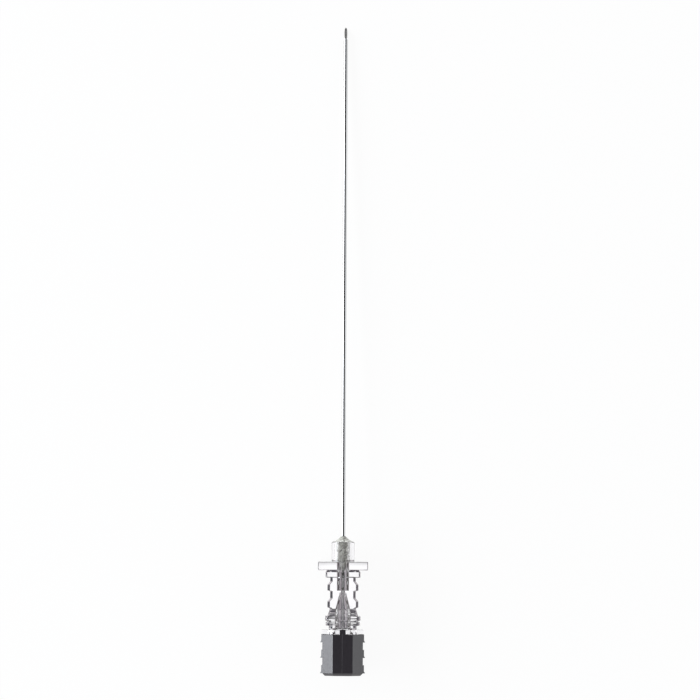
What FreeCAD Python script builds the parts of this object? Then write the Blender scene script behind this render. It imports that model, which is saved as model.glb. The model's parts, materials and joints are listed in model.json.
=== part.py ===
"""A single-use spinal needle with its stylet in place, in millimetres.

A steel cannula is bonded into a clear moulded hub, and a steel stylet wire fills the cannula. The wire is
moulded into a black cap, whose taper plug sits in the hub's socket and whose key sits in the hub's notch.

Every piece is drawn upright: the needle points along +Z, z = 0 is the face of the hub's stop flange that
the cap closes against, and the front, which the bevel and the key face, is -Y. The last step lays the pieces
down together, front side up, as the needle rests on a table on its finger plate and its point.
"""
import FreeCAD, Part
import math
import os
import Sketcher

doc = FreeCAD.newDocument("SpinalNeedle")
sheet = doc.addObject("Spreadsheet::Sheet", "Sizes")
vector = FreeCAD.Vector


class Size:
    """A number that carries the sheet expression it comes from, so that one formula serves both."""

    def __init__(self, number, text=None):
        self.number = float(number)
        self.text = text or repr(float(number))

    def __add__(self, other):
        return Size(self.number + sized(other).number, f"({self.text} + {sized(other).text})")

    def __sub__(self, other):
        return Size(self.number - sized(other).number, f"({self.text} - {sized(other).text})")

    def __mul__(self, other):
        return Size(self.number * sized(other).number, f"({self.text} * {sized(other).text})")

    def __truediv__(self, other):
        return Size(self.number / sized(other).number, f"({self.text} / {sized(other).text})")

    def __rmul__(self, other):
        return sized(other) * self

    def __neg__(self):
        return Size(-self.number, f"(0 - {self.text})")


def sized(value):
    return value if isinstance(value, Size) else Size(value)


def cosine(degrees):
    return Size(math.cos(math.radians(degrees.number)), f"cos({degrees.text})")


def size(alias, number):
    """Writes one driving size into the next free row of the sheet."""
    row = len(sheet.getUsedCells()) // 2 + 1
    sheet.set(f"A{row}", alias.replace("_", " "))
    sheet.set(f"B{row}", str(number))
    sheet.setAlias(f"B{row}", alias)
    return Size(number, f"Sizes.{alias}")


# Steel parts: the cannula with its slanted point, and the wire that fills it.
cannula_diameter = size("cannula_diameter", 0.70)
lumen_diameter = size("lumen_diameter", 0.45)
needle_reach = size("needle_reach", 90.0)
bevel_length = size("bevel_length", 2.1)
lancet_length = size("lancet_length", 1.3)
lancet_turn = size("lancet_turn", 36.0)
wire_gap = size("wire_gap", 0.02)
wire_anchor = size("wire_anchor", 0.15)

# Passage through the hub: tapered socket, guide, funnel, seat of the cannula and adhesive well.
socket_mouth = size("socket_mouth", 4.30)
socket_depth = size("socket_depth", 7.5)
socket_taper = size("socket_taper", 0.06)
socket_tube = size("socket_tube", 5.6)
tube_reach = size("tube_reach", 6.6)
guide_step = size("guide_step", 0.2)
guide_diameter = size("guide_diameter", 2.72)
guide_length = size("guide_length", 3.0)
funnel_throat = size("funnel_throat", 1.1)
seat_start = size("seat_start", 7.25)
seat_length = size("seat_length", 0.35)
seat_gap = size("seat_gap", 0.01)
well_diameter = size("well_diameter", 2.1)

# Stop flange, with the notch for the cap's key.
stop_width = size("stop_width", 7.25)
stop_face = size("stop_face", 3.6)
stop_thickness = size("stop_thickness", 0.8)
key_width = size("key_width", 1.05)
key_height = size("key_height", 1.15)
key_thickness = size("key_thickness", 0.45)
key_gap = size("key_gap", 0.05)

# Neck, two rings and the shoulder between the stop flange and the grip.
neck_width = size("neck_width", 4.9)
neck_height = size("neck_height", 0.6)
lower_ring_width = size("lower_ring_width", 6.0)
lower_ring_thickness = size("lower_ring_thickness", 0.7)
ring_groove_width = size("ring_groove_width", 5.4)
ring_groove_height = size("ring_groove_height", 0.25)
upper_ring_width = size("upper_ring_width", 6.2)
upper_ring_thickness = size("upper_ring_thickness", 0.85)
ring_corner = size("ring_corner", 0.8)
shoulder_height = size("shoulder_height", 1.2)

# Grip: a flat-faced block with two saw-tooth ridges on each side, their steps towards the cap.
grip_width = size("grip_width", 4.45)
grip_foot_width = size("grip_foot_width", 4.6)
grip_depth = size("grip_depth", 4.6)
grip_height = size("grip_height", 5.5)
ridge_width = size("ridge_width", 5.4)
ridge_thickness = size("ridge_thickness", 1.75)
ridge_step = size("ridge_step", 0.12)
ridge_slope = size("ridge_slope", 0.6)
ridge_pitch = size("ridge_pitch", 2.95)
first_ridge = size("first_ridge", 0.15)
ridge_round = size("ridge_round", 0.2)
grip_edge_chamfer = size("grip_edge_chamfer", 0.18)

# Collar, finger plate and nose.
collar_width = size("collar_width", 6.1)
collar_depth = size("collar_depth", 5.6)
collar_thickness = size("collar_thickness", 1.3)
collar_corner = size("collar_corner", 0.35)
collar_chamfer = size("collar_chamfer", 0.28)
plate_width = size("plate_width", 8.75)
plate_depth = size("plate_depth", 7.2)
plate_thickness = size("plate_thickness", 1.45)
plate_corner = size("plate_corner", 0.3)
plate_edge_round = size("plate_edge_round", 0.15)
nose_diameter = size("nose_diameter", 4.02)
nose_height = size("nose_height", 3.5)
nose_round = size("nose_round", 0.28)

# Adhesive that holds the cannula in the hub.
adhesive_depth = size("adhesive_depth", 3.5)
drip_length = size("drip_length", 4.0)
drip_tip = size("drip_tip", 0.04)
drip_curve = size("drip_curve", 9.0)
meniscus_height = size("meniscus_height", 1.0)
meniscus_curve = size("meniscus_curve", 3.2)

# Cap of the stylet.
cap_width = size("cap_width", 7.1)
cap_face = size("cap_face", 3.5)
cap_end_wall = size("cap_end_wall", 0.55)
cap_end_chamfer = size("cap_end_chamfer", 0.45)
rim_gap = size("rim_gap", 0.05)
skirt_gap = size("skirt_gap", 0.15)
plug_gap = size("plug_gap", 0.03)
plug_length = size("plug_length", 6.2)
stem_diameter = size("stem_diameter", 1.2)
stem_tip_diameter = size("stem_tip_diameter", 0.8)
stem_length = size("stem_length", 1.2)
rib_length = size("rib_length", 1.4)
rib_rise = size("rib_rise", 0.2)
rib_lip = size("rib_lip", 0.38)
rib_lip_thickness = size("rib_lip_thickness", 0.3)
rib_root = size("rib_root", 0.15)
rib_pitch = size("rib_pitch", 2.7)
rib_count = size("rib_count", 3)

doc.recompute()

# Heights of the hub's storeys, and of the needle's point, above the stop face.
neck_base = stop_thickness
lower_ring_base = neck_base + neck_height
groove_base = lower_ring_base + lower_ring_thickness
upper_ring_base = groove_base + ring_groove_height
shoulder_base = upper_ring_base + upper_ring_thickness
grip_base = shoulder_base + shoulder_height
collar_base = grip_base + grip_height
plate_base = collar_base + collar_thickness
nose_base = plate_base + plate_thickness
nose_top = nose_base + nose_height
point_height = nose_top + needle_reach
well_base = seat_start + seat_length
socket_end = socket_depth - tube_reach
guide_base = socket_end + guide_step
cap_floor = -tube_reach - skirt_gap
cap_end = cap_floor - cap_end_wall
plug_top = cap_floor + plug_length
wire_end = cap_floor - wire_anchor
wire_diameter = lumen_diameter - 2 * wire_gap


def plane_of(body, role):
    return next(item for item in body.Origin.OriginFeatures if item.Role == role)


def new_body(name, label):
    body = doc.addObject("PartDesign::Body", name)
    body.Label = label
    return body


def new_sketch(body, name, role, lift=0):
    """A sketch on one of the body's origin planes, moved along that plane's normal by lift."""
    sketch = body.newObject("Sketcher::SketchObject", name)
    sketch.AttachmentSupport = [(plane_of(body, role), "")]
    sketch.MapMode = "FlatFace"
    sketch.setExpression("AttachmentOffset.Base.z", sized(lift).text)
    return sketch


def fix_point(sketch, edge, end, x, y):
    """Ties one point of the sketch to the sheet, or to an axis where its coordinate is zero."""
    for kind, value, axis in (("DistanceX", sized(x), -2), ("DistanceY", sized(y), -1)):
        if value.number == 0:
            sketch.addConstraint(Sketcher.Constraint("PointOnObject", edge, end, axis))
        else:
            index = sketch.addConstraint(Sketcher.Constraint(kind, -1, 1, edge, end, value.number))
            sketch.setExpression(f"Constraints[{index}]", value.text)


def fix_value(sketch, kind, edge, value):
    index = sketch.addConstraint(Sketcher.Constraint(kind, edge, value.number))
    sketch.setExpression(f"Constraints[{index}]", value.text)


def hollow_arc(start, end, radius):
    """The short arc from start to end whose centre lies to the left of that direction."""
    chord = end - start
    left = vector(-chord.y, chord.x, 0).normalize()
    centre = (start + end) * 0.5 + left * math.sqrt(radius**2 - (chord.Length / 2) ** 2)
    first, last = start - centre, end - centre
    circle = Part.Circle(centre, vector(0, 0, 1), radius)
    return Part.ArcOfCircle(circle, math.atan2(first.y, first.x), math.atan2(last.y, last.x))


def draw_outline(sketch, points, hollows=None):
    """A closed outline through points bound to the sheet, straight but for the hollows.

    Hollows gives the radius of an inward curve for the number of the point that its edge starts from. An
    outline with hollows runs clockwise.
    """
    hollows = hollows or {}
    corners = [vector(sized(x).number, sized(y).number, 0) for x, y in points]
    edges = []
    for i, corner in enumerate(corners):
        after = corners[(i + 1) % len(corners)]
        if i in hollows:
            edges.append(sketch.addGeometry(hollow_arc(corner, after, hollows[i].number)))
            fix_value(sketch, "Radius", edges[-1], hollows[i])
        else:
            edges.append(sketch.addGeometry(Part.LineSegment(corner, after)))
    for edge, after, point in zip(edges, edges[1:] + edges[:1], points):
        sketch.addConstraint(Sketcher.Constraint("Coincident", edge, 2, after, 1))
        fix_point(sketch, edge, 1, *point)


def draw_circle(sketch, diameter):
    circle = sketch.addGeometry(Part.Circle(vector(0, 0, 0), vector(0, 0, 1), diameter.number / 2))
    sketch.addConstraint(Sketcher.Constraint("Coincident", circle, 3, -1, 1))
    fix_value(sketch, "Diameter", circle, diameter)


def draw_rounded_rectangle(sketch, width, depth, corner):
    """Four corner arcs about centres bound to the sheet, and the four sides between them."""
    across, along = width / 2 - corner, depth / 2 - corner
    centres = [(across, along), (-across, along), (-across, -along), (across, -along)]
    arcs = []
    for turn, (x, y) in enumerate(centres):
        circle = Part.Circle(vector(x.number, y.number, 0), vector(0, 0, 1), corner.number)
        arc = sketch.addGeometry(Part.ArcOfCircle(circle, turn * math.pi / 2, (turn + 1) * math.pi / 2))
        fix_value(sketch, "Radius", arc, corner)
        fix_point(sketch, arc, 3, x, y)
        arcs.append(arc)
    for arc, after in zip(arcs, arcs[1:] + arcs[:1]):
        side = sketch.addGeometry(Part.LineSegment(sketch.getPoint(arc, 2), sketch.getPoint(after, 1)))
        sketch.addConstraint(Sketcher.Constraint("Tangent", arc, 2, side, 1))
        sketch.addConstraint(Sketcher.Constraint("Tangent", side, 2, after, 1))


def octagon(width, face):
    """Corners of an octagon as wide as it is deep, whose front, back and sides are face wide."""
    half, edge = width / 2, face / 2
    quarter = [(edge, half), (-edge, half), (-half, edge), (-half, -edge)]
    return quarter + [(-x, -y) for x, y in quarter]


def add_feature(body, kind, name, sketch, length, backwards=False, both_ways=False):
    feature = body.newObject(f"PartDesign::{kind}", name)
    feature.Profile = sketch
    feature.setExpression("Length", sized(length).text)
    feature.Reversed = backwards
    if both_ways:
        feature.SideType = "Symmetric"
    doc.recompute()
    return feature


def pad(body, name, sketch, length, backwards=False, both_ways=False):
    return add_feature(body, "Pad", name, sketch, length, backwards, both_ways)


def pocket(body, name, sketch, length, backwards=False, both_ways=False):
    before = body.Shape.Volume
    add_feature(body, "Pocket", name, sketch, length, backwards, both_ways)
    assert body.Shape.Volume < before, f"{name} cuts nothing"


def turn_profile(body, kind, name, sketch):
    """A Revolution or a Groove of the sketch about the needle's axis."""
    before = body.Shape.Volume if body.Tip else 0
    feature = body.newObject(f"PartDesign::{kind}", name)
    feature.Profile = sketch
    feature.ReferenceAxis = (sketch, ["V_Axis"])
    feature.Angle = 360
    doc.recompute()
    assert (body.Shape.Volume > before) == (kind == "Revolution"), f"{name} changes nothing"


def slab(body, name, base, thickness, width, depth, corner):
    """A storey of the hub: a rounded rectangle across the axis."""
    sketch = new_sketch(body, name + "Outline", "XY_Plane", base)
    draw_rounded_rectangle(sketch, width, depth, corner)
    pad(body, name, sketch, thickness)


def dress_edges(body, kind, name, prop, value, chosen):
    """A Fillet or Chamfer on every edge of the body that chosen accepts."""
    base = body.Tip
    names = [f"Edge{i}" for i, edge in enumerate(base.Shape.Edges, 1) if chosen(edge.BoundBox)]
    feature = body.newObject(f"PartDesign::{kind}", name)
    feature.Base = (base, names)
    feature.setExpression(prop, value.text)
    doc.recompute()


def near(first, second):
    return abs(first - sized(second).number) < 1e-4


def flat_at(height):
    """A test for edges that lie level at a height."""
    return lambda box: near(box.ZMin, height) and near(box.ZMax, height)


def socket_radius(height):
    """Radius of the hub's tapered socket at a height."""
    return socket_mouth / 2 - socket_taper / 2 * (height + tube_reach)


def cut_slope(body, name, back, fall, turn=None):
    """Cuts off all beyond a plane that leans forward from the point, at the back of the axis.

    Its line of steepest slope starts at the distance back behind the axis and drops by fall over one
    cannula diameter. The turn swings the whole plane about the axis.
    """
    sketch = new_sketch(body, name + "Line", "YZ_Plane")
    if turn is not None:
        side = 1 if turn.number > 0 else -1
        sketch.AttachmentOffset = FreeCAD.Placement(vector(), FreeCAD.Rotation(vector(0, side, 0), 1))
        sketch.setExpression("AttachmentOffset.Rotation.Angle", (side * turn).text)
    front = -2 * cannula_diameter
    foot = point_height - (back - front) / cannula_diameter * fall
    top = point_height + cannula_diameter
    draw_outline(sketch, [(back, point_height), (back, top), (front, top), (front, foot)])
    pocket(body, name, sketch, 4 * cannula_diameter, both_ways=True)


def make_cannula():
    """The steel tube with a slanted bevel and two lancet facets that meet in the point."""
    body = new_body("Cannula", "cannula")
    section = new_sketch(body, "TubeSection", "XY_Plane", seat_start)
    draw_circle(section, cannula_diameter)
    draw_circle(section, lumen_diameter)
    pad(body, "Tube", section, point_height - seat_start)
    cut_slope(body, "CannulaBevel", cannula_diameter / 2, bevel_length)
    back = cannula_diameter / 2 * cosine(lancet_turn)
    cut_slope(body, "LeftLancet", back, lancet_length, lancet_turn)
    cut_slope(body, "RightLancet", back, lancet_length, -lancet_turn)
    return body


def make_wire():
    """The stylet wire, ground off in one plane with the cannula's bevel."""
    body = new_body("Wire", "stylet_wire")
    section = new_sketch(body, "WireSection", "XY_Plane", wire_end)
    draw_circle(section, wire_diameter)
    pad(body, "Rod", section, point_height - wire_end)
    cut_slope(body, "WireBevel", cannula_diameter / 2, bevel_length)
    return body


def add_grip(body):
    """The block between shoulder and collar, with its ridged sides in one outline."""
    wall, crest = grip_width / 2, ridge_width / 2
    side = [(grip_foot_width / 2, shoulder_base)]
    inner = grip_foot_width / 2
    for ridge in range(2):
        foot = grip_base + first_ridge + ridge_pitch * ridge
        side += [
            (inner, foot),
            (crest, foot + ridge_step),
            (crest, foot + ridge_thickness - ridge_slope),
            (wall, foot + ridge_thickness),
        ]
        inner = wall
    side.append((wall, plate_base))
    outline = new_sketch(body, "GripOutline", "XZ_Plane")
    draw_outline(outline, side + [(-x, z) for x, z in reversed(side)])
    pad(body, "Grip", outline, grip_depth, both_ways=True)

    def across_side(box):
        return near(box.YLength, grip_depth) and grip_base.number < box.ZMin < collar_base.number

    def along_side(box):
        return near(box.YLength, 0) and box.ZLength > 0 and near(abs(box.YMin), grip_depth / 2)

    dress_edges(body, "Fillet", "RidgeRounds", "Radius", ridge_round, across_side)
    dress_edges(body, "Chamfer", "GripEdgeChamfers", "Size", grip_edge_chamfer, along_side)


def add_shoulder(body):
    """The step from the upper ring in to the grip, sloping on all four sides."""
    foot = new_sketch(body, "ShoulderFoot", "XY_Plane", shoulder_base)
    draw_rounded_rectangle(foot, upper_ring_width, upper_ring_width, ring_corner)
    top = new_sketch(body, "ShoulderTop", "XY_Plane", grip_base)
    draw_rounded_rectangle(top, grip_foot_width, grip_depth, grip_edge_chamfer)
    loft = body.newObject("PartDesign::AdditiveLoft", "Shoulder")
    loft.Profile = foot
    loft.Sections = [top]
    loft.Ruled = True
    doc.recompute()


def add_plate(body):
    """The finger plate, with its two faces' outer edges rounded."""
    slab(body, "FingerPlate", plate_base, plate_thickness, plate_width, plate_depth, plate_corner)

    def face_edge(box):
        level = flat_at(plate_base)(box) or flat_at(nose_base)(box)
        return level and max(abs(box.Center.x) / plate_width.number, abs(box.Center.y) / plate_depth.number) > 0.4

    dress_edges(body, "Fillet", "PlateEdgeRounds", "Radius", plate_edge_round, face_edge)


def add_nose(body):
    outline = new_sketch(body, "NoseCircle", "XY_Plane", nose_base)
    draw_circle(outline, nose_diameter)
    pad(body, "Nose", outline, nose_height)
    dress_edges(body, "Fillet", "NoseRound", "Radius", nose_round, flat_at(nose_top))


def cut_passage(body):
    """Everything bored along the axis, from the socket's mouth to the open end of the adhesive well."""
    profile = new_sketch(body, "PassageProfile", "XZ_Plane")
    seat = cannula_diameter / 2 + seat_gap
    draw_outline(
        profile,
        [
            (0, -tube_reach),
            (socket_radius(-tube_reach), -tube_reach),
            (socket_radius(socket_end), socket_end),
            (guide_diameter / 2, guide_base),
            (guide_diameter / 2, guide_base + guide_length),
            (funnel_throat / 2, seat_start),
            (seat, seat_start),
            (seat, well_base),
            (well_diameter / 2, well_base),
            (well_diameter / 2, nose_top),
            (0, nose_top),
        ],
    )
    turn_profile(body, "Groove", "Passage", profile)


def cut_notch(body):
    """The slot in the front of the stop flange that takes the cap's key."""
    outline = new_sketch(body, "NotchOutline", "XY_Plane")
    half = key_width / 2 + key_gap
    floor = key_thickness + key_gap - cap_width / 2
    draw_outline(outline, [(half, floor), (-half, floor), (-half, -stop_width), (half, -stop_width)])
    pocket(body, "KeyNotch", outline, stop_thickness, backwards=True)


def make_hub():
    """The clear moulding, from the grip outwards, bored and notched last."""
    body = new_body("Hub", "needle_hub")
    add_grip(body)
    add_shoulder(body)
    corner = ring_corner
    slab(body, "UpperRing", upper_ring_base, upper_ring_thickness, upper_ring_width, upper_ring_width, corner)
    slab(body, "RingGroove", groove_base, ring_groove_height, ring_groove_width, ring_groove_width, corner)
    slab(body, "LowerRing", lower_ring_base, lower_ring_thickness, lower_ring_width, lower_ring_width, corner)
    slab(body, "Neck", neck_base, neck_height, neck_width, neck_width, corner)
    slab(body, "Collar", collar_base, collar_thickness, collar_width, collar_depth, collar_corner)
    dress_edges(body, "Chamfer", "CollarChamfer", "Size", collar_chamfer, flat_at(plate_base))
    add_plate(body)
    add_nose(body)

    stop = new_sketch(body, "StopOutline", "XY_Plane")
    draw_outline(stop, octagon(stop_width, stop_face))
    pad(body, "StopFlange", stop, stop_thickness)
    tube = new_sketch(body, "SocketTubeCircle", "XY_Plane")
    draw_circle(tube, socket_tube)
    pad(body, "SocketTube", tube, tube_reach, backwards=True)

    cut_passage(body)
    cut_notch(body)
    return body


def make_adhesive():
    """The bead in the mouth of the well, with a cone in front and a drip along the cannula behind."""
    body = new_body("Adhesive", "hub_adhesive")
    profile = new_sketch(body, "AdhesiveProfile", "XZ_Plane")
    inner, outer = cannula_diameter / 2, well_diameter / 2
    fill = nose_top - adhesive_depth
    points = [
        (outer, nose_top),
        (outer, fill),
        (inner + drip_tip, fill - drip_length),
        (inner, fill - drip_length),
        (inner, nose_top + meniscus_height),
        (inner + drip_tip, nose_top + meniscus_height),
        (nose_diameter / 2 - nose_round, nose_top),
    ]
    draw_outline(profile, points, {1: drip_curve, 5: meniscus_curve})
    turn_profile(body, "Revolution", "Bead", profile)
    return body


def add_ribs(body):
    """A row of saw-tooth ribs down each of the cap's two side faces."""
    wall = cap_width / 2
    tooth = [
        (wall - rib_root, -rim_gap),
        (wall + rib_rise, -rim_gap),
        (wall + rib_rise, -rim_gap - rib_length + rib_lip_thickness),
        (wall + rib_lip, -rim_gap - rib_length),
        (wall - rib_root, -rim_gap - rib_length),
    ]
    for name, sign in (("Right", 1), ("Left", -1)):
        outline = new_sketch(body, name + "RibProfile", "XZ_Plane")
        draw_outline(outline, [(sign * x, z) for x, z in tooth])
        rib = pad(body, name + "Rib", outline, cap_face, both_ways=True)
        row = body.newObject("PartDesign::LinearPattern", name + "RibRow")
        row.Originals = [rib]
        row.Direction = (plane_of(body, "Z_Axis"), [""])
        row.Reversed = True
        row.Mode = "Spacing"
        row.setExpression("Offset", rib_pitch.text)
        row.setExpression("Occurrences", rib_count.text)
        body.Tip = row
        doc.recompute()


def add_plug(body):
    """The taper plug that fills the socket, and the stem that carries the wire out of it."""
    profile = new_sketch(body, "PlugProfile", "XZ_Plane")
    draw_outline(
        profile,
        [
            (0, cap_floor),
            (socket_radius(cap_floor) - plug_gap, cap_floor),
            (socket_radius(plug_top) - plug_gap, plug_top),
            (stem_diameter / 2, plug_top),
            (stem_tip_diameter / 2, plug_top + stem_length),
            (0, plug_top + stem_length),
        ],
    )
    turn_profile(body, "Revolution", "Plug", profile)


def make_cap():
    """The black grip of the stylet: a hollow octagon over the socket tube, closed at its far end."""
    body = new_body("Cap", "stylet_cap")
    block = new_sketch(body, "CapOutline", "XY_Plane", -rim_gap)
    draw_outline(block, octagon(cap_width, cap_face))
    pad(body, "Block", block, -rim_gap - cap_end, backwards=True)
    dress_edges(body, "Chamfer", "EndChamfer", "Size", cap_end_chamfer, flat_at(cap_end))
    add_ribs(body)

    skirt = new_sketch(body, "SkirtCircle", "XY_Plane", -rim_gap)
    draw_circle(skirt, socket_tube + 2 * skirt_gap)
    pocket(body, "Skirt", skirt, -cap_floor - rim_gap)
    add_plug(body)

    key = new_sketch(body, "KeyOutline", "XY_Plane", -rim_gap)
    half, front = key_width / 2, -cap_width / 2
    draw_outline(
        key, [(half, front), (half, front + key_thickness), (-half, front + key_thickness), (-half, front)]
    )
    pad(body, "Key", key, key_height + rim_gap)

    bore = new_sketch(body, "WireHoleCircle", "XY_Plane", wire_end)
    draw_circle(bore, wire_diameter)
    pocket(body, "WireHole", bore, plug_top + stem_length - wire_end, backwards=True)
    return body


def lay_down(bodies):
    """Turns all bodies together onto the back edge of the finger plate and the back of the point.

    The tilt is the angle between the axis and the line that touches both. The middle of the whole
    needle's footprint comes to lie at the origin, with the needle along +Y and its front up.
    """
    edge = plate_edge_round.text
    drop = (plate_depth / 2 - plate_edge_round - cannula_diameter / 2).text
    run = (point_height - nose_base + plate_edge_round).text
    tilt = f"(atan({drop} / {run}) + asin({edge} / sqrt({drop}^2 + {run}^2)))"
    back, point = (cannula_diameter / 2).text, point_height.text
    rise = f"{back} * cos({tilt}) + {point} * sin({tilt})"
    front_end = f"({point} * cos({tilt}) - {back} * sin({tilt}))"
    cap_back, cap_reach = (cap_width / 2 - cap_end_chamfer).text, (-cap_end).text
    rear_end = f"({cap_back} * sin({tilt}) + {cap_reach} * cos({tilt}))"
    shift = f"({rear_end} - {front_end}) / 2"
    for body in bodies:
        turn = f"rotation(vector(1; 0; 0); -90 deg - {tilt})"
        body.setExpression("Placement", f"placement(vector(0; {shift}; {rise}); {turn})")
    doc.recompute()


bodies = [make_hub(), make_cannula(), make_wire(), make_adhesive(), make_cap()]
lay_down(bodies)

for item in doc.Objects:
    assert not {"Invalid", "Error"} & set(item.State), f"{item.Name} failed"
for body in bodies:
    assert not body.Shape.isNull() and body.Shape.isValid(), f"{body.Label} is not valid"
    assert len(body.Shape.Solids) == 1, f"{body.Label} is in pieces"

os.makedirs("parts", exist_ok=True)
for body in bodies:
    body.Shape.exportStep(f"parts/{body.Label}.step")
    box = body.Shape.BoundBox
    print(f"{body.Label}: {body.Shape.Volume:.3f} mm3, X {box.XMin:.2f} to {box.XMax:.2f},", end=" ")
    print(f"Y {box.YMin:.2f} to {box.YMax:.2f}, Z {box.ZMin:.3f} to {box.ZMax:.3f}")
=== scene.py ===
"""Looks of a single-use spinal needle with its stylet in place, lying on a pale table.

Shapes are made upright in millimetres: the needle points along +Z, z = 0 is the face of the hub's stop
flange that the cap closes against, and the front is -Y. Each finished mesh is then laid down in the frame.
"""
import json
import math

import bmesh
import bpy
from mathutils import Matrix, Vector


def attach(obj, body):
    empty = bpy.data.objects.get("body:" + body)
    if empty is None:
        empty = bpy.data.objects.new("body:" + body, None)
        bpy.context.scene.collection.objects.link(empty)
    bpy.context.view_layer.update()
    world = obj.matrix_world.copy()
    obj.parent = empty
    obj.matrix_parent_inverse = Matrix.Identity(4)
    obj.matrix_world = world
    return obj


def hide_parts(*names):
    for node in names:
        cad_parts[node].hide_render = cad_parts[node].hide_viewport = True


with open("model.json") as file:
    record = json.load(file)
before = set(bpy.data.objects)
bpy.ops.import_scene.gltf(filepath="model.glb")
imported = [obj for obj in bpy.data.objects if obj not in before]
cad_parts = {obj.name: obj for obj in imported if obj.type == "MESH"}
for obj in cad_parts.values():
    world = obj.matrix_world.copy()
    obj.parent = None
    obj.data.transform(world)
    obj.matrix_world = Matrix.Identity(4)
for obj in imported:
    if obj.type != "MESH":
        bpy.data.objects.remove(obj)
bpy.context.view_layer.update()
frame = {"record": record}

# Needle hub
# One clear plastic injection moulding, polished in the tool, that holds the cannula. It has a nose, a finger
# plate, a grip with ridged sides, two rings and a stop flange, and the syringe socket is bored through it.

MILLIMETRE = 0.001
plate, plate_width, plate_depth, plate_corner, plate_edges = (11.2, 12.65), 8.75, 7.2, 0.14, (0.2, 0.1)
nose_mount = next(mount for mount in frame["record"]["mounts"] if mount["name"] == "sheath_seat")
nose_middle = plate[1] + nose_mount["dims"]["length_mm"] / 2
forward, right = Vector(nose_mount["axis"]), Vector((1, 0, 0))
turn = Matrix((right, forward.cross(right), forward)).transposed().to_4x4()
shrink = Matrix.Scale(MILLIMETRE, 4) @ Matrix.Translation((0, 0, -nose_middle))
place = Matrix.Translation(nose_mount["pos_m"]) @ turn @ shrink

# Joined solids lap into each other, and a face that would meet another's face sinks a little below it.
LAP, SINK = 0.1, 0.02
STEPS, CORNER_STEPS, EDGE_STEPS, NOSE_STEPS = 96, 8, 4, 6

cannula_diameter, seat_press = 0.70, 0.005
socket_mouth, socket_taper, tube_reach, socket_end = 4.3, 0.06, 6.6, 0.9
socket_tube = 5.6
guide, guide_diameter, funnel_throat = (1.1, 4.1), 2.72, 1.1
seat_start, well_base, well_diameter = 7.25, 7.6, 2.1
stop_width, stop_face, stop_thickness, stop_edge = 7.25, 3.6, 0.8, 0.07
key_slot_width, key_slot_floor = 1.15, 3.05
neck_width = 4.9
ring_corner, ring_edges = 0.8, (0.16, 0.16)
lower_ring, lower_ring_width = (1.5, 2.2), 6.0
ring_groove_width = 5.4
upper_ring, upper_ring_width = (2.35, 3.2), 6.2
shoulder_root, shoulder_foot, shoulder_top = (5.3, 5.9), (5.4, 6.06), (4.0, 4.0)
grip_base, grip_width, grip_foot_width, grip_depth = 4.4, 4.45, 4.6, 4.6
grip_edge, grip_edge_ease = 0.42, (0.03, 0.08)
ridge_width, ridge_thickness, ridge_step, ridge_slope = 5.4, 1.75, 0.12, 0.6
ridge_feet, ridge_round = (4.55, 7.5), 0.12
collar, collar_width, collar_depth, collar_corner = (9.9, 11.2), 6.1, 5.6, 0.35
collar_foot, collar_chamfer = 0.1, 0.34
nose_top, nose_diameter, nose_round, glue_depth = 16.15, 4.02, 0.28, 3.5
glue_fill = nose_top - glue_depth


def skin(name, rings, closed=False):
    """An object whose surface joins rings of points in turn; a ring can be a single point."""
    points, faces, starts = [], [], []
    for ring in rings:
        starts.append(len(points))
        points += ring
    pairs = list(zip(range(len(rings)), range(1, len(rings))))
    if closed:
        pairs.append((len(rings) - 1, 0))
    for a, b in pairs:
        for i in range(max(len(rings[a]), len(rings[b]))):
            corners = []
            for ring, step in ((a, 0), (a, 1), (b, 1), (b, 0)):
                corner = starts[ring] + (i + step) % len(rings[ring])
                if corner not in corners:
                    corners.append(corner)
            faces.append(corners)
    if not closed:
        for ring in (0, len(rings) - 1):
            if len(rings[ring]) > 1:
                faces.append([starts[ring] + i for i in range(len(rings[ring]))])
    mesh = bpy.data.meshes.new(name)
    mesh.from_pydata(points, [], faces)
    shape = bmesh.new()
    shape.from_mesh(mesh)
    bmesh.ops.recalc_face_normals(shape, faces=shape.faces)
    shape.to_mesh(mesh)
    shape.free()
    return linked(name, mesh)


def linked(name, data):
    """A new object of the scene."""
    made = bpy.data.objects.new(name, data)
    bpy.context.scene.collection.objects.link(made)
    return made


def storey(outline, level):
    """An outline across the axis, at its height."""
    return [(x, y, level) for x, y in outline]


def arc(centre, radius, start, end, steps):
    """Points on an arc between two angles in degrees."""
    angles = [math.radians(start + (end - start) * i / steps) for i in range(steps + 1)]
    return [(centre[0] + radius * math.cos(a), centre[1] + radius * math.sin(a)) for a in angles]


def hollow(start, end, radius, steps):
    """Points on the short arc from start to end, end left out, with its centre on the left."""
    start, end = Vector(start), Vector(end)
    chord = end - start
    left = Vector((-chord.y, chord.x)).normalized()
    centre = (start + end) / 2 + left * math.sqrt(radius**2 - (chord.length / 2) ** 2)
    sweep = 2 * math.asin(chord.length / 2 / radius)
    offset = start - centre
    return [tuple(centre + Matrix.Rotation(sweep * i / steps, 2) @ offset) for i in range(steps)]


def circle(radius):
    """Points round the axis."""
    angles = [2 * math.pi * i / STEPS for i in range(STEPS)]
    return [(radius * math.cos(a), radius * math.sin(a)) for a in angles]


def lathe(name, profile, closed=False):
    """A turned shape from points of radius and height."""
    return skin(name, [storey(circle(r), z) if r > 0 else [(0, 0, z)] for r, z in profile], closed)


def box_outline(width, depth, corner, inset=0):
    """A rectangle with round corners, its sides moved in by the inset; it has as many points at any size."""
    x, y = width / 2 - corner, depth / 2 - corner
    points = []
    for turn_number, centre in enumerate([(x, y), (-x, y), (-x, -y), (x, -y)]):
        points += arc(centre, corner - inset, 90 * turn_number, 90 * turn_number + 90, CORNER_STEPS)
    return points


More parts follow.
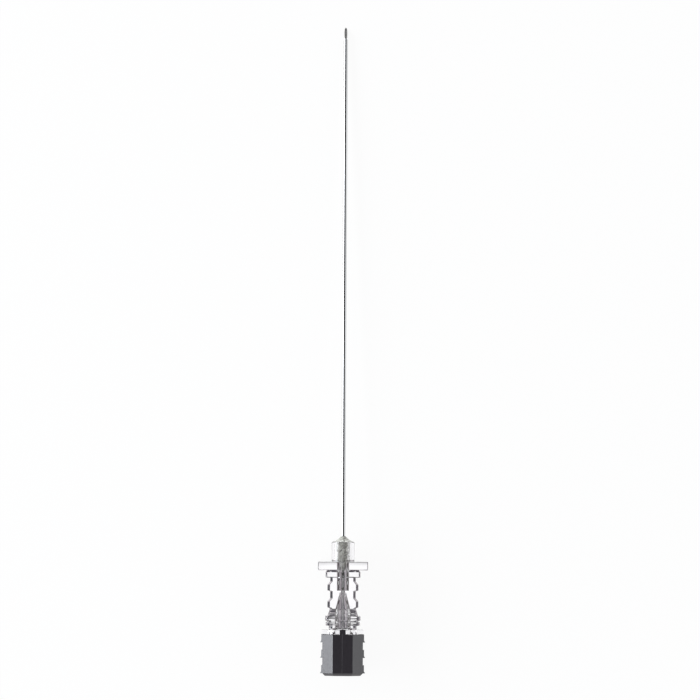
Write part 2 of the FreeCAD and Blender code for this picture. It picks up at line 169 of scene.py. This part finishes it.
def octagon(width, face):
    """An octagon whose sides across the axes have the face's width."""
    half, edge = width / 2, face / 2
    quarter = [(edge, half), (-edge, half), (-half, edge), (-half, -edge)]
    return quarter + [(-x, -y) for x, y in quarter]


def slab(name, span, width, depth, corner, edges=(0, 0)):
    """A storey across the axis, with a rounding for its lower and its upper outer edge."""
    rings = []
    for level, side, edge in zip(span, (-1, 1), edges):
        turns = [math.pi / 2 * i / EDGE_STEPS for i in range(EDGE_STEPS + 1)] if edge else [math.pi / 2]
        edge_rings = []
        for angle in turns:
            inset, rise = edge * (1 - math.sin(angle)), edge * (1 - math.cos(angle))
            edge_rings.append(storey(box_outline(width, depth, corner, inset), level - side * rise))
        rings += edge_rings if side < 0 else edge_rings[::-1]
    return skin(name, rings)


def round_corners(points, radius, ends=0):
    """A closed outline with an arc of the radius at each corner that turns, but for some at both ends."""
    rounded = list(points[:ends])
    for i in range(ends, len(points) - ends):
        corner = Vector(points[i])
        before = (Vector(points[i - 1]) - corner).normalized()
        after = (Vector(points[(i + 1) % len(points)]) - corner).normalized()
        half = before.angle(after) / 2
        middle = corner + (before + after).normalized() * (radius / math.sin(half))
        start = corner + before * (radius / math.tan(half)) - middle
        end = corner + after * (radius / math.tan(half)) - middle
        sweep = start.angle_signed(end)
        for step in range(CORNER_STEPS + 1):
            rounded.append(tuple(middle + Matrix.Rotation(-sweep * step / CORNER_STEPS, 2) @ start))
    return rounded + list(points[len(points) - ends :])


def round_edges(made, width, least_turn=30):
    """Rounds an object's edges that turn by more than some degrees."""
    step = made.modifiers.new("edges", "BEVEL")
    step.limit_method = "ANGLE"
    step.angle_limit = math.radians(least_turn)
    step.width = width
    step.segments = 2


def plain_mesh(made):
    """The object's mesh with its modifiers taken in; the object itself is removed."""
    bpy.context.view_layer.update()
    graph = bpy.context.evaluated_depsgraph_get()
    mesh = bpy.data.meshes.new_from_object(made.evaluated_get(graph))
    bpy.data.objects.remove(made)
    return mesh


def combine(base, joined, cut):
    """Joins solids to the base and cuts solids out of it."""
    for operation, tools in (("UNION", joined), ("DIFFERENCE", cut)):
        for tool in tools:
            step = base.modifiers.new(tool.name, "BOOLEAN")
            step.operation = operation
            step.solver = "MANIFOLD"
            step.object = tool
    mesh = plain_mesh(base)
    for tool in (*joined, *cut):
        bpy.data.objects.remove(tool)
    return linked(mesh.name, mesh)


def lay_down(name, made, material, body, node, crease=20):
    """Turns a made shape into a finished piece in the frame, in the place of a CAD node."""
    mesh = plain_mesh(made)
    mesh.name = name
    mesh.transform(place)
    mesh.shade_smooth()
    mesh.set_sharp_from_angle(angle=math.radians(crease))
    mesh.materials.clear()
    mesh.materials.append(material)
    piece = linked(name, mesh)
    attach(piece, body)
    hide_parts(node)


class Value:
    """A socket of a node tree that takes part in sums."""

    def __init__(self, tree, socket):
        self.tree = tree
        self.socket = socket

    def maths(self, operation, *values):
        """What a Math node makes of some values."""
        return self.tree.node("ShaderNodeMath", {"operation": operation}, dict(enumerate(values)))

    def larger(self, other):
        return self.maths("MAXIMUM", self, other)

    def __add__(self, other):
        return self.maths("ADD", self, other)

    def __sub__(self, other):
        return self.maths("SUBTRACT", self, other)

    def __rsub__(self, other):
        return self.maths("SUBTRACT", other, self)

    def __mul__(self, other):
        return self.maths("MULTIPLY", self, other)

    def __gt__(self, other):
        return self.maths("GREATER_THAN", self, other)

    def __lt__(self, other):
        return self.maths("LESS_THAN", self, other)

    def __abs__(self):
        return self.maths("ABSOLUTE", self)

    __radd__ = __add__
    __rmul__ = __mul__


class Tree:
    """A node tree in which one method makes every node."""

    def __init__(self, tree):
        self.tree = tree

    def node(self, kind, settings=None, sockets=None, output=0):
        """A new node's output, or the node itself where it has none; its settings are set first."""
        made = self.tree.nodes.new(kind)
        for name, value in (settings or {}).items():
            if name == "stops":
                ramp = made.color_ramp
                while len(ramp.elements) < len(value):
                    ramp.elements.new(0.5)
                for element, (position, colour) in zip(ramp.elements, value):
                    element.position = position
                    element.color = colour
            else:
                setattr(made, name, value)
        for name, value in (sockets or {}).items():
            if isinstance(value, Value):
                self.tree.links.new(value.socket, made.inputs[name])
            else:
                made.inputs[name].default_value = value
        return Value(self, made.outputs[output]) if made.outputs else made

    def parts(self, value, names):
        """Some outputs of the node that a value comes from."""
        return [Value(self, value.socket.node.outputs[name]) for name in names]

    def upright(self):
        """The upright place of a point on the piece, in millimetres."""
        laid = {"Location": place.to_translation(), "Rotation": place.to_euler()}
        laid["Scale"] = (MILLIMETRE, MILLIMETRE, MILLIMETRE)
        laid["Vector"] = self.node("ShaderNodeTexCoord", output="Object")
        return self.node("ShaderNodeMapping", {"vector_type": "TEXTURE"}, laid)

    def place(self, axis):
        """One coordinate of the upright place."""
        return self.node("ShaderNodeSeparateXYZ", None, {0: self.upright()}, output=axis)

    def mixed(self, factor, first, second):
        """A colour between two colours."""
        colours = {"Factor": factor, 6: first, 7: second}
        return self.node("ShaderNodeMix", {"data_type": "RGBA"}, colours, output=2)

    def ranged(self, value, span, result=(0.0, 1.0)):
        """A value carried from one span of numbers to another, and held at its ends."""
        ends = {"From Min": span[0], "From Max": span[1], "To Min": result[0], "To Max": result[1]}
        return self.node("ShaderNodeMapRange", None, {"Value": value, **ends})

    def grain(self, scale, detail=2.0, stretch=(1, 1, 1)):
        """Noise over the upright place, with about scale spots to the millimetre."""
        stretched = {0: self.upright(), 1: stretch}
        vector = self.node("ShaderNodeVectorMath", {"operation": "MULTIPLY"}, stretched)
        return self.node("ShaderNodeTexNoise", None, {"Vector": vector, "Scale": scale, "Detail": detail})

    def bump(self, strength, depth, height):
        """A normal that a pattern bends; the depth is in metres."""
        sockets = {"Strength": strength, "Distance": depth, "Height": height}
        return self.node("ShaderNodeBump", None, sockets)


def new_material(name, sockets):
    """A Principled material: the sockets take a number, or a function of the tree that gives a link."""
    material = bpy.data.materials.new(name)
    material.use_nodes = True
    tree = Tree(material.node_tree)
    shader = material.node_tree.nodes["Principled BSDF"]
    for socket, value in sockets.items():
        if callable(value):
            tree.tree.links.new(value(tree).socket, shader.inputs[socket])
        else:
            shader.inputs[socket].default_value = value
    return material


flow_stretch, flow_across, flow_depths = (0.12, 0.12, 2.2), (-2.6, 0.6), (24.0, 13.0)


def moulded_surface(tree):
    """The gentle waves of a clear moulding, with flow lines across its rings that are deeper on the left."""
    up = tree.place("Z")
    rings = (up > lower_ring[0]) * (up < upper_ring[1])
    flow = tree.grain(1.0, 0.0, flow_stretch) * tree.ranged(tree.place("X"), flow_across, flow_depths)
    return tree.grain(0.7, 1.0) + flow * rings


clear_plastic = new_material(
    "clear_plastic",
    {
        "Base Color": lambda t: t.mixed(t.grain(0.5), (0.97, 0.96, 0.985, 1), (0.995, 0.995, 1.0, 1)),
        "Roughness": lambda t: 0.01 + 0.02 * t.grain(1.5, 3.0),
        "Normal": lambda t: t.bump(1.0, 1.2e-5, moulded_surface(t)),
        "Transmission Weight": 1.0,
        "IOR": 1.53,
    },
)


def socket_radius(height):
    """The tapered socket's radius at a height."""
    return socket_mouth / 2 - socket_taper / 2 * (height + tube_reach)


def grip_ring(y, inset):
    """The grip's wavy outline at one depth, from the shoulder to the finger plate and back."""
    foot_wall, wall, crest = grip_foot_width / 2 - inset, grip_width / 2 - inset, ridge_width / 2 - inset
    side = [(foot_wall, grip_base - LAP)]
    for inner, foot in zip((foot_wall, wall), ridge_feet):
        side += [(inner, foot), (crest, foot + ridge_step)]
        side += [(crest, foot + ridge_thickness - ridge_slope), (wall, foot + ridge_thickness)]
    side = round_corners(side + [(wall, plate[0] + LAP)], ridge_round, 1)
    return [(x, y, z) for x, z in side + [(-x, z) for x, z in reversed(side)]]


ease_in, ease_along = grip_edge_ease
grip_bend = [(0, grip_edge), (ease_in, grip_edge - ease_along)]
grip_bend += [(inset, depth) for depth, inset in reversed(grip_bend)]
front_rings = [(-grip_depth / 2 + depth, inset) for depth, inset in grip_bend]
back_rings = [(-y, inset) for y, inset in reversed(front_rings)]
grip = skin("grip", [grip_ring(*ring) for ring in front_rings + back_rings])
shoulder = skin(
    "shoulder",
    [
        storey(box_outline(*shoulder_root, ring_corner), upper_ring[1] - LAP),
        storey(box_outline(*shoulder_foot, ring_corner), upper_ring[1] - SINK),
        storey(box_outline(grip_foot_width, grip_depth, grip_edge), grip_base),
        storey(box_outline(*shoulder_top, grip_edge), grip_base + LAP),
    ],
)
collar_steps = [(collar[0], collar_foot), (collar[0] + collar_foot, 0)]
collar_steps += [(collar[1] - collar_chamfer, 0), (collar[1] + LAP, collar_chamfer)]
collar_box = (collar_width, collar_depth, collar_corner)
collar_slab = skin("collar", [storey(box_outline(*collar_box, inset), z) for z, inset in collar_steps])
nose_bend = arc((nose_diameter / 2 - nose_round, nose_top - nose_round), nose_round, 0, 90, NOSE_STEPS)
nose = lathe("nose", [(0, plate[1] - LAP), (nose_diameter / 2, plate[1] - LAP), *nose_bend, (0, nose_top)])
stop_outline = octagon(stop_width, stop_face)
stop = skin("stop", [storey(stop_outline, 0), storey(stop_outline, stop_thickness)])
round_edges(stop, stop_edge)
socket_side = [(0, -tube_reach), (socket_tube / 2, -tube_reach), (socket_tube / 2, LAP), (0, LAP)]
neck_span = (stop_thickness - LAP, lower_ring[0] + LAP)
groove_span = (lower_ring[1] - LAP, upper_ring[0] + LAP)
storeys = [
    stop,
    lathe("socket_wall", socket_side),
    slab("neck", neck_span, neck_width, neck_width, ring_corner),
    slab("lower_ring", lower_ring, lower_ring_width, lower_ring_width, ring_corner, ring_edges),
    slab("ring_groove", groove_span, ring_groove_width, ring_groove_width, ring_corner),
    slab("upper_ring", upper_ring, upper_ring_width, upper_ring_width, ring_corner, ring_edges),
    shoulder,
    collar_slab,
    slab("finger_plate", plate, plate_width, plate_depth, plate_corner, plate_edges),
    nose,
]
seat_radius = cannula_diameter / 2 - seat_press
passage = lathe(
    "passage",
    [
        (0, -tube_reach - LAP),
        (socket_radius(-tube_reach), -tube_reach - LAP),
        (socket_radius(-tube_reach), -tube_reach),
        (socket_radius(socket_end), socket_end),
        (guide_diameter / 2, guide[0]),
        (guide_diameter / 2, guide[1]),
        (funnel_throat / 2, seat_start),
        (seat_radius, seat_start),
        (seat_radius, well_base),
        (well_diameter / 2, well_base),
        (well_diameter / 2, glue_fill),
        (seat_radius, glue_fill),
        (seat_radius, nose_top + LAP),
        (0, nose_top + LAP),
    ],
)
slot_outline = [(key_slot_width / 2, -key_slot_floor), (-key_slot_width / 2, -key_slot_floor)]
slot_outline += [(-key_slot_width / 2, -stop_width), (key_slot_width / 2, -stop_width)]
notch = skin("notch", [storey(slot_outline, z) for z in (-LAP, stop_thickness + LAP)])
hub_shape = combine(grip, storeys, [passage, notch])
lay_down("clear_hub", hub_shape, clear_plastic, "needle", "needle_hub")

# Cannula
# A drawn stainless steel tube, bonded into the hub. Its end is ground off in one long slanted bevel, and two
# short lancet facets are ground from behind so that they meet in the point.

lumen_diameter, exposed_length = 0.45, 90.0
point_height = nose_top + exposed_length
bevel_length, lancet_length, lancet_turn = 2.1, 1.3, 36.0
# The ground end's colours: painted shade along its middle that turns into a painted reflection towards its
# edges.
painted_glint_span, painted_shade_grey, painted_glint_grey = (0.13, 0.24), 0.15, 0.9
steel_crease = 12


def ground(x, y, lancets):
    """How high the metal reaches at a place across the axis, below the bevel and, if asked, the lancets."""
    edge = cannula_diameter / 2
    heights = [point_height - (edge - y) / cannula_diameter * bevel_length]
    if lancets:
        for turned in (math.radians(lancet_turn), -math.radians(lancet_turn)):
            back = y * math.cos(turned) - x * math.sin(turned)
            heights.append(point_height - (edge * math.cos(turned) - back) / cannula_diameter * lancet_length)
    return min(heights)


def ground_ring(radius, lancets=False):
    """Points round the axis where the ground facets cut them off."""
    return [(x, y, ground(x, y, lancets)) for x, y in circle(radius)]


def grey(level):
    """An even grey."""
    return (level, level, level, 1.0)


def drawn_steel(name, shade):
    """Drawn and polished steel with fine lines along it, and a ground end with painted shade along its middle
    and a painted reflection at its edges.
    """

    def lines(tree):
        """The fine lines that drawing leaves."""
        return tree.grain(12.0, 3.0, stretch=(1, 1, 0.02))

    def metal(tree):
        """The colour of the drawn surface, and of the ground end from the painted shade along its middle to a
        painted reflection at its edges.
        """
        drawn = tree.mixed(lines(tree), grey(shade * 0.9), grey(shade * 1.1))
        # Painted shade along the ground end's middle and a painted reflection at its edges, by the distance
        # across.
        edges = tree.ranged(abs(tree.place("X")), painted_glint_span)
        end = tree.mixed(edges, grey(painted_shade_grey), grey(painted_glint_grey))
        return tree.mixed(tree.place("Z") > point_height - bevel_length, drawn, end)

    return new_material(
        name,
        {
            "Base Color": metal,
            "Roughness": lambda t: 0.07 + 0.08 * lines(t),
            "Normal": lambda t: t.bump(0.05, 2e-6, lines(t)),
            "Metallic": 1.0,
        },
    )


cannula_steel = drawn_steel("cannula_steel", 0.52)
outside, bore = cannula_diameter / 2, lumen_diameter / 2
tube_rings = [storey(circle(outside), seat_start), ground_ring(outside, lancets=True)]
tube_rings += [ground_ring(bore, lancets=True), storey(circle(bore), seat_start)]
cannula_shape = skin("cannula", tube_rings, closed=True)
lay_down("cannula_tube", cannula_shape, cannula_steel, "needle", "cannula", steel_crease)

# Stylet wire
# A stainless steel wire, 0.02 mm clear of the tube all round, moulded into the cap at its far end and ground
# off flush with the cannula's bevel.

wire_diameter, wire_anchor = 0.41, 6.9
wire_steel = drawn_steel("wire_steel", 0.5)
wire_shape = skin("wire", [storey(circle(wire_diameter / 2), -wire_anchor), ground_ring(wire_diameter / 2)])
lay_down("stylet_rod", wire_shape, wire_steel, "stylet", "stylet_wire", steel_crease)

# Adhesive
# A bead of cured grey-olive adhesive in the nose's well, wicked a little way down the cannula and drawn up
# it as a hollow cone.

drip_length, drip_curve, drip_steps, bead_tip, brim_drop = 4.9, 8.2, 16, 0.06, 0.01
meniscus_height, meniscus_curve, meniscus_steps = 1.0, 3.2, 12
layer_bore, layer_radii, layer_covers, layer_margin = 0.38, (0.5, 0.8), (0.35, 0.55), 1.05
# The coat heights: below them the thin coat on the steel is painted near black, as painted shade in the well.
painted_coat_heights, cone_squares, cone_shades = (11.0, 12.4), (0.2, 2.2), (0.85, 0.1)


def off_axis(tree):
    """The square of the distance from the axis."""
    across, back = tree.place("X"), tree.place("Y")
    return across * across + back * back


def bead_colour(tree):
    """Light grey-olive clouds in the well, darker up the cone, and near-black painted shade where only a coat
    is left on the steel.
    """
    pale, mid = (0.92, 0.92, 0.87, 1), (0.78, 0.78, 0.72, 1)
    # The coat's near-black colour is painted shade.
    deep, painted_coat_shade = (0.38, 0.38, 0.33, 1), (0.03, 0.03, 0.022, 1)
    up = tree.place("Z")
    stops = [(0.32, deep), (0.48, mid), (0.66, pale)]
    clouds = tree.node("ShaderNodeValToRGB", {"stops": stops}, {"Fac": tree.grain(3.2, 4.0)})
    cone = (up > nose_top) * tree.ranged(off_axis(tree), cone_squares, cone_shades)
    return tree.mixed(tree.ranged(up, painted_coat_heights), painted_coat_shade, tree.mixed(cone, clouds, deep))


def bead_cover(tree):
    """How much the bead hides: little in the well's clear outer layer, more round the cannula and outside."""
    up, square = tree.place("Z"), off_axis(tree)
    covers = zip(layer_radii, layer_covers)
    core = sum((square < radius**2 * layer_margin) * cover for radius, cover in covers)
    clouds = tree.ranged(tree.grain(3.4, 3.0), (0.4, 0.58), (0.1, 1.0))
    clouded = core.larger(up > nose_top - SINK) * clouds
    return 0.06 + clouded.larger((up < painted_coat_heights[1]) * 0.9)


adhesive = new_material(
    "cured_adhesive",
    {
        "Base Color": bead_colour,
        "Roughness": lambda t: 0.25 + 0.2 * t.grain(4.0),
        "Alpha": bead_cover,
        "Normal": lambda t: t.bump(0.4, 4e-5, t.grain(5.0)),
    },
)
bead_core, bead_wall, bead_brim = cannula_diameter / 2, well_diameter / 2, nose_diameter / 2 - nose_round
bead_top, bead_bottom = nose_top + meniscus_height, glue_fill - drip_length
bead_profile = [
    (bead_wall, nose_top - brim_drop),
    *hollow((bead_wall, glue_fill), (bead_core + bead_tip, bead_bottom), drip_curve, drip_steps),
    (bead_core + bead_tip, bead_bottom),
    (bead_core, bead_bottom),
    (bead_core, bead_top),
    *hollow((bead_core + bead_tip, bead_top), (bead_brim, nose_top), meniscus_curve, meniscus_steps),
    (bead_brim, nose_top),
]
bead = lathe("bead", bead_profile, closed=True)
whole_bead = bmesh.new()
whole_bead.from_mesh(bead.data)
for radius in layer_radii:
    layer_side = [(layer_bore, glue_fill), (radius, glue_fill)]
    layer_side += [(radius, nose_top - LAP), (layer_bore, nose_top - LAP)]
    layer = lathe("layer", layer_side, closed=True)
    whole_bead.from_mesh(layer.data)
    bpy.data.objects.remove(layer)
whole_bead.to_mesh(bead.data)
whole_bead.free()
lay_down("adhesive_bead", bead, adhesive, "needle", "hub_adhesive", crease=30)

# Stylet cap
# A black moulding that the stylet is pulled out by: an octagon, hollow over the socket's tube, with saw-tooth
# ribs down both sides. Its taper plug fits the socket, and its key drops into the stop flange's notch.

cap_width, cap_face, cap_end, rim = 7.1, 3.5, -7.3, -0.05
cap_chamfer, cap_floor, skirt_diameter = 0.45, -6.75, 5.9
block_round, block_edge, SIDE_STEPS = 0.12, 0.05, 10
plug_gap, plug_length, stem_diameter, stem_tip, stem_length = 0.03, 6.2, 1.2, 0.8, 1.2
key_width, key_height, key_thickness, key_recess = 1.05, 0.8, 0.45, 0.004
rib_length, rib_rise, rib_lip, rib_lip_thickness, rib_root = 1.4, 0.2, 0.38, 0.3, 0.15
rib_pitch, rib_count = 2.7, 3
seam_left, seam_middle, seam_right, seam_start, seam_depth = -0.17, -0.1, -0.03, 0.01, 0.03

black, off_black = (0.010, 0.008, 0.011, 1), (0.022, 0.018, 0.024, 1)
black_plastic = new_material(
    "black_plastic",
    {
        "Base Color": lambda t: t.mixed(t.grain(3.0, 4.0), black, off_black),
        "Roughness": lambda t: 0.24 + 0.16 * t.grain(2.0, 4.0),
        "Normal": lambda t: t.bump(0.2, 1e-5, t.grain(14.0)),
        "Specular IOR Level": 0.8,
    },
)


def filled_sides(corners):
    """A rounded outline with points along its straight sides too."""
    rounded = round_corners(corners, block_round)
    filled = []
    for i, point in enumerate(rounded):
        filled.append(point)
        if i % (CORNER_STEPS + 1) == CORNER_STEPS:
            side = Vector(rounded[(i + 1) % len(rounded)]) - Vector(point)
            filled += [tuple(Vector(point) + side * step / SIDE_STEPS) for step in range(1, SIDE_STEPS)]
    return filled


def beside(outline, radius):
    """A circle with its points on the same sides of the axis as an outline's."""
    return [tuple(Vector(point).normalized() * radius) for point in outline]


end_face = cap_face - 2 * cap_chamfer * math.tan(math.pi / 8)
rim_outline = filled_sides(octagon(cap_width, cap_face))
end_outline = filled_sides(octagon(cap_width - 2 * cap_chamfer, end_face))
skirt_ring = beside(rim_outline, skirt_diameter / 2)
plug_end = cap_floor + plug_length
plug_root = beside(rim_outline, socket_radius(cap_floor) - plug_gap)
plug_head = beside(rim_outline, socket_radius(plug_end) - plug_gap)
block = skin(
    "block",
    [
        [(0, 0, cap_end)],
        storey(end_outline, cap_end),
        storey(rim_outline, cap_end + cap_chamfer),
        storey(rim_outline, rim),
        storey(skirt_ring, rim),
        storey(skirt_ring, cap_floor),
        storey(plug_root, cap_floor),
        storey(plug_head, plug_end),
        storey(beside(rim_outline, stem_diameter / 2), plug_end),
        storey(beside(rim_outline, stem_tip / 2), plug_end + stem_length),
        [(0, 0, plug_end + stem_length)],
    ],
)
round_edges(block, block_edge)
key_front = -cap_width / 2 + key_recess
key_outline = [(key_width / 2, key_front), (key_width / 2, key_front + key_thickness)]
key_outline += [(-x, y) for x, y in reversed(key_outline)]
key = skin("key", [storey(key_outline, z) for z in (rim - LAP, key_height)])

rib_rows = bpy.data.node_groups.new("rib_rows", "GeometryNodeTree")
rib_sockets = (("Geometry", "Geometry"), ("Count", "Int"), ("Pitch", "Float"), ("Material", "Material"))
for socket, kind in rib_sockets:
    rib_rows.interface.new_socket(socket, in_out="INPUT", socket_type="NodeSocket" + kind)
rib_rows.interface.new_socket("Geometry", in_out="OUTPUT", socket_type="NodeSocketGeometry")
rows = Tree(rib_rows)
tooth, count, pitch, finish = rows.parts(rows.node("NodeGroupInput"), range(4))
down = rows.node("ShaderNodeCombineXYZ", None, {"Z": 0 - pitch})
row = rows.node("GeometryNodeMeshLine", {"mode": "OFFSET"}, {"Count": count, "Offset": down})
one_side = rows.node("GeometryNodeInstanceOnPoints", None, {"Points": row, "Instance": tooth})
turned_side = rows.node("GeometryNodeTransform", None, {"Geometry": one_side, "Rotation": (0, 0, math.pi)})
both = rows.node("GeometryNodeJoinGeometry")
for half in (one_side, turned_side):
    rib_rows.links.new(half.socket, both.socket.node.inputs[0])
solid_ribs = rows.node("GeometryNodeRealizeInstances", None, {"Geometry": both})
finished = rows.node("GeometryNodeSetMaterial", None, {"Geometry": solid_ribs, "Material": finish})
rows.node("NodeGroupOutput", None, {"Geometry": finished})

wall = cap_width / 2
tooth_side = [
    (wall - rib_root, rim - SINK),
    (wall + rib_rise, rim - SINK),
    (wall + rib_rise, rim - rib_length + rib_lip_thickness),
    (wall + rib_lip, rim - rib_length),
    (wall - rib_root, rim - rib_length),
]
ribs = skin("ribs", [[(x, side * (cap_face / 2 + wall - x), z) for x, z in tooth_side] for side in (-1, 1)])
pattern = ribs.modifiers.new("rows", "NODES")
pattern.node_group = rib_rows
rib_inputs = {"Count": rib_count, "Pitch": rib_pitch, "Material": black_plastic}
for socket in rib_rows.interface.items_tree:
    if socket.in_out == "INPUT" and socket.name in rib_inputs:
        pattern[socket.identifier] = rib_inputs[socket.name]
seam_outline = [(seam_left, -wall - seam_start), (seam_right, -wall - seam_start)]
seam_outline.append((seam_middle, -wall - seam_start + seam_depth))
seam = skin("seam", [storey(seam_outline, z) for z in (cap_end - LAP, rim + LAP)])
cap_shape = combine(block, [ribs, key], [seam])
lay_down("black_cap", cap_shape, black_plastic, "stylet", "stylet_cap")

# Table, light and camera
# A pale table under a soft studio tent with a lamp on each side and a darker strip overhead, where the camera
# looks in. Seen through the clear hub, the table is open onto a white panel below, as on a light table.

footprint_x, footprint_rear, footprint_front = 0.20, -0.0485, -0.0366
table_reach, table_grey, table_glow = 3.0, 0.9, 0.93


def cleared(tree):
    """A node tree without its first nodes."""
    tree.nodes.clear()
    return Tree(tree)


floor_material = bpy.data.materials.new("table")
floor_material.use_nodes = True
top = cleared(floor_material.node_tree)
ray_kinds = ("Is Camera Ray", "Is Glossy Ray", "Is Transmission Ray")
camera_ray, glossy_ray, through_ray = top.parts(top.node("ShaderNodeLightPath"), ray_kinds)
spot = top.node("ShaderNodeSeparateXYZ", None, {0: top.node("ShaderNodeTexCoord", output="Object")})
spot_x, spot_y = top.parts(spot, "XY")
under_hub = (abs(spot_x) < footprint_x) * (spot_y < footprint_front) * (spot_y > footprint_rear)
paper = top.node("ShaderNodeBsdfDiffuse", None, {"Color": grey(table_grey)})
glow = top.node("ShaderNodeEmission", None, {"Color": grey(1.0), "Strength": 1.0})
shadowed = top.node("ShaderNodeMixShader", None, {"Fac": table_glow, 1: paper, 2: glow})
seen = camera_ray + glossy_ray + through_ray
table = top.node("ShaderNodeMixShader", None, {"Fac": seen, 1: paper, 2: shadowed})
clear = top.node("ShaderNodeBsdfTransparent")
window = top.node("ShaderNodeMixShader", None, {"Fac": through_ray * under_hub, 1: table, 2: clear})
top.node("ShaderNodeOutputMaterial", None, {"Surface": window})

floor_mesh = bpy.data.meshes.new("floor")
floor_corners = [(-table_reach, -table_reach, 0), (table_reach, -table_reach, 0)]
floor_corners += [(-x, -y, z) for x, y, z in floor_corners]
floor_mesh.from_pydata(floor_corners, [], [(0, 1, 2, 3)])
floor_mesh.materials.append(floor_material)
linked("floor", floor_mesh)

world = bpy.data.worlds.new("studio")
bpy.context.scene.world = world
world.use_nodes = True
sky = cleared(world.node_tree)
direction = sky.node("ShaderNodeSeparateXYZ", None, {0: sky.node("ShaderNodeTexCoord", output="Generated")})
sideways, lengthways, height = sky.parts(direction, "XYZ")
panel, strip, tent = grey(1.12), grey(0.15), grey(0.9)
strip_end, side_blend = (0.42, 0.58), 2.0


def walls(near, light, dark, far, overhead):
    """The tent's colours on one of its sides, by the angle in degrees from straight down."""
    bands = [(0, panel), (6, panel), (9, near), (29, near), (33, light), (45, light), (54, dark), (95, dark)]
    bands += [(105, far), (112, far), (122, overhead)]
    stops = [(0.5 - 0.5 * math.cos(math.radians(angle)), colour) for angle, colour in bands]
    return sky.node("ShaderNodeValToRGB", {"stops": stops}, {"Fac": 0.5 + 0.5 * height})


left_wall = walls(
    near=(0.075, 0.065, 0.08, 1),
    light=(0.46, 0.42, 0.44, 1),
    dark=(0.03, 0.02, 0.025, 1),
    far=grey(0.02),
    overhead=grey(0.8),
)
right_wall = walls(
    near=(0.03, 0.026, 0.04, 1),
    light=(0.62, 0.58, 0.60, 1),
    dark=(0.03, 0.024, 0.02, 1),
    far=grey(0.03),
    overhead=grey(0.8),
)
side = sky.node("ShaderNodeClamp", None, {"Value": 0.5 + side_blend * sideways})
through_glass = sky.mixed(side, left_wall, right_wall)
under_strip = walls(near=tent, light=tent, dark=tent, far=tent, overhead=strip)
open_tent = sky.mixed(sky.ranged(abs(lengthways), strip_end), under_strip, tent)
world_ray = sky.node("ShaderNodeLightPath")
seen_directly, seen_through = sky.parts(world_ray, ("Is Camera Ray", "Is Transmission Ray"))
colour = sky.mixed(seen_directly, sky.mixed(seen_through, open_tent, through_glass), grey(1.0))
background = sky.node("ShaderNodeBackground", None, {"Color": colour, "Strength": 1.0})
sky.node("ShaderNodeOutputWorld", None, {"Surface": background})

lamp_colour, lamp_side, lamp_height, lamp_size = (0.91, 0.95, 1.0), 0.8, 0.25, (1.2, 0.5)


def soft_box(name, side, power):
    """An area lamp beside the needle that faces it."""
    lamp = bpy.data.lights.new(name, "AREA")
    lamp.shape = "RECTANGLE"
    lamp.size, lamp.size_y = lamp_size
    lamp.energy = power
    lamp.color = lamp_colour
    made = linked(name, lamp)
    made.location = (side * lamp_side, 0, lamp_height)
    made.rotation_euler = (-made.location).to_track_quat("-Z", "Y").to_euler()
    made.visible_transmission = False


soft_box("left_box", -1, 14)
soft_box("right_box", 1, 2)

PIXEL = 0.175
IMAGE_SIDE = 700
flange_row, axis_column, lean = 634, 342.7, 0.0053
middle_height = (flange_row - IMAGE_SIDE / 2) * PIXEL
middle_side = (IMAGE_SIDE / 2 - axis_column - lean * (flange_row - IMAGE_SIDE / 2)) * PIXEL
distance = 2400.0
camera_data = bpy.data.cameras.new("camera")
camera_data.sensor_width = 36.0
camera_data.lens = camera_data.sensor_width * distance / (IMAGE_SIDE * PIXEL)
camera_data.clip_start = 0.01
camera = linked("camera", camera_data)
camera.matrix_world = (
    place
    @ Matrix.Translation((0, 0, middle_height))
    @ Matrix.Rotation(-lean, 4, "Y")
    @ Matrix.Translation((middle_side, -distance, 0))
    @ Matrix.Rotation(math.radians(90), 4, "X")
)
bpy.context.scene.camera = camera
bpy.context.scene.view_settings.view_transform = "Standard"
